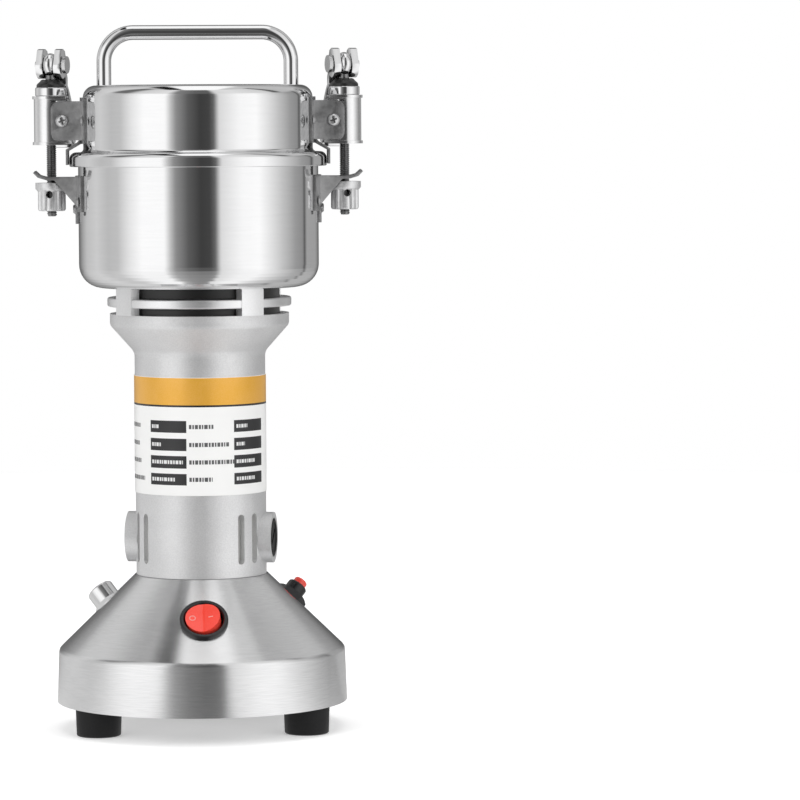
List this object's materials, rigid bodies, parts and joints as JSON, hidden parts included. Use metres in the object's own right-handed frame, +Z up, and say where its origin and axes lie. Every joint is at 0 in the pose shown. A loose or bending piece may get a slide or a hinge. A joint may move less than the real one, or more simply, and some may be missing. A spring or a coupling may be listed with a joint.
{
  "type": "electric coffee grinder",
  "caption": "Upright steel electric grinder with a round lidded bowl held by two side latches, on a flared base with a red rocker switch.",
  "frame": {"origin": "centre of the base at the floor, under the bowl's axis", "axes": "+Z up along the axis of motor and bowl, -Y to the front with the rocker switch, +X to the right seen from the front"},
  "size_m": [0.136, 0.2671, 0.2906],
  "materials": {
    "base_steel": "brushed",
    "cast_housing": "satin",
    "polished_steel": "polished",
    "bright_wire": "polished",
    "latch_steel": "satin",
    "plain_steel": "satin",
    "foot_rubber": "matte",
    "black_plastic": "gloss",
    "neck_black": "matte",
    "switch_red": "gloss",
    "grommet_grey": "matte",
    "cord_black": "satin",
    "pin_brass": "bare",
    "label_film": "satin",
    "core_iron": "laminated",
    "copper": "varnished",
    "gasket_rubber": "matte"
  },
  "bodies": {
    "root": {"base_shell": "base_steel", "base_plate": "base_steel", "rubber_feet": "foot_rubber", "foot_screws": "plain_steel", "switch_body": "black_plastic", "breaker_body": "black_plastic", "breaker_nut": "black_plastic", "lamp_holder": "bright_wire", "lamp_lens": "switch_red", "cable_grommet": "grommet_grey", "cord_lead": "cord_black", "cord_coil": "cord_black", "cord_tail": "cord_black", "plug_body": "cord_black", "plug_pins": "pin_brass", "motor_housing": "cast_housing", "brush_caps": "black_plastic", "housing_label": "label_film", "housing_screws": "plain_steel", "neck_ring": "neck_black", "neck_screws": "plain_steel", "ball_bearings": "plain_steel", "bearing_bracket": "cast_housing", "stator_core": "core_iron", "field_coils": "copper", "brush_holders": "pin_brass", "carbon_brushes": "core_iron", "brush_springs": "plain_steel", "bowl": "polished_steel", "shaft_seal": "neck_black", "lid_shell": "polished_steel", "lid_gasket": "gasket_rubber", "lid_handle": "bright_wire", "handle_nuts": "plain_steel", "lid_brackets": "latch_steel", "bowl_brackets": "latch_steel", "latch_pivots": "plain_steel"},
    "rotor": {"rotor_shaft": "plain_steel", "armature": "copper", "commutator": "copper", "cooling_fan": "neck_black", "blade_lower": "plain_steel", "blade_upper": "plain_steel", "blade_nut": "plain_steel"},
    "rocker": {"rocker_button": "switch_red"},
    "reset": {"reset_button": "switch_red"},
    "left_yoke": {"left_latch_yoke": "latch_steel", "left_cam_washer": "bright_wire", "left_cam_saddle": "neck_black"},
    "left_bolt": {"left_latch_bolt": "bright_wire"},
    "left_nut": {"left_latch_nut": "latch_steel"},
    "left_lever": {"left_cam_lever": "bright_wire", "left_lever_pin": "plain_steel"},
    "right_yoke": {"right_latch_yoke": "latch_steel", "right_cam_washer": "bright_wire", "right_cam_saddle": "neck_black"},
    "right_bolt": {"right_latch_bolt": "bright_wire"},
    "right_nut": {"right_latch_nut": "latch_steel"},
    "right_lever": {"right_cam_lever": "bright_wire", "right_lever_pin": "plain_steel"}
  },
  "joints": [
    {"name": "rotor_spin", "type": "hinge", "parent": "root", "child": "rotor", "pos_m": [0, 0, 0.19], "axis": [0, 0, 1], "continuous": true},
    {"name": "rocker_tilt", "type": "hinge", "parent": "root", "child": "rocker", "pos_m": [0.00074, -0.0423, 0.04812], "axis": [-0.0125, 0.717, 0.6969], "range_deg": [0, 16]},
    {"name": "reset_press", "type": "slide", "parent": "root", "child": "reset", "axis": [-0.5845, -0.3796, -0.7172], "range_m": [0, 0.0015], "stiffness_N_per_m": 400},
    {"name": "left_latch_swing", "type": "hinge", "parent": "root", "child": "left_yoke", "pos_m": [-0.0557, 0, 0.2514], "axis": [0, 1, 0], "range_deg": [0, 25]},
    {"name": "left_bolt_drop", "type": "slide", "parent": "left_yoke", "child": "left_bolt", "axis": [0, 0, -1], "range_m": [0, 0.002]},
    {"name": "left_lever_open", "type": "hinge", "parent": "left_bolt", "child": "left_lever", "pos_m": [-0.0604, 0, 0.2744], "axis": [0.9588, -0.284, 0], "range_deg": [0, 110]},
    {"name": "left_nut_turn", "type": "hinge", "parent": "left_bolt", "child": "left_nut", "pos_m": [-0.0604, 0, 0.22], "axis": [0, 0, 1], "continuous": true},
    {"name": "right_latch_swing", "type": "hinge", "parent": "root", "child": "right_yoke", "pos_m": [0.0557, 0, 0.2514], "axis": [0, -1, 0], "range_deg": [0, 25]},
    {"name": "right_bolt_drop", "type": "slide", "parent": "right_yoke", "child": "right_bolt", "axis": [0, 0, -1], "range_m": [0, 0.002]},
    {"name": "right_lever_open", "type": "hinge", "parent": "right_bolt", "child": "right_lever", "pos_m": [0.0604, 0, 0.2744], "axis": [0.9588, 0.284, 0], "range_deg": [0, 110]},
    {"name": "right_nut_turn", "type": "hinge", "parent": "right_bolt", "child": "right_nut", "pos_m": [0.0604, 0, 0.22], "axis": [0, 0, 1], "continuous": true}
  ],
  "couplings": [
    {"joint": "left_lever_open", "follows": "left_bolt_drop", "rad_per_m": 955.13},
    {"joint": "right_lever_open", "follows": "right_bolt_drop", "rad_per_m": 955.13}
  ]
}
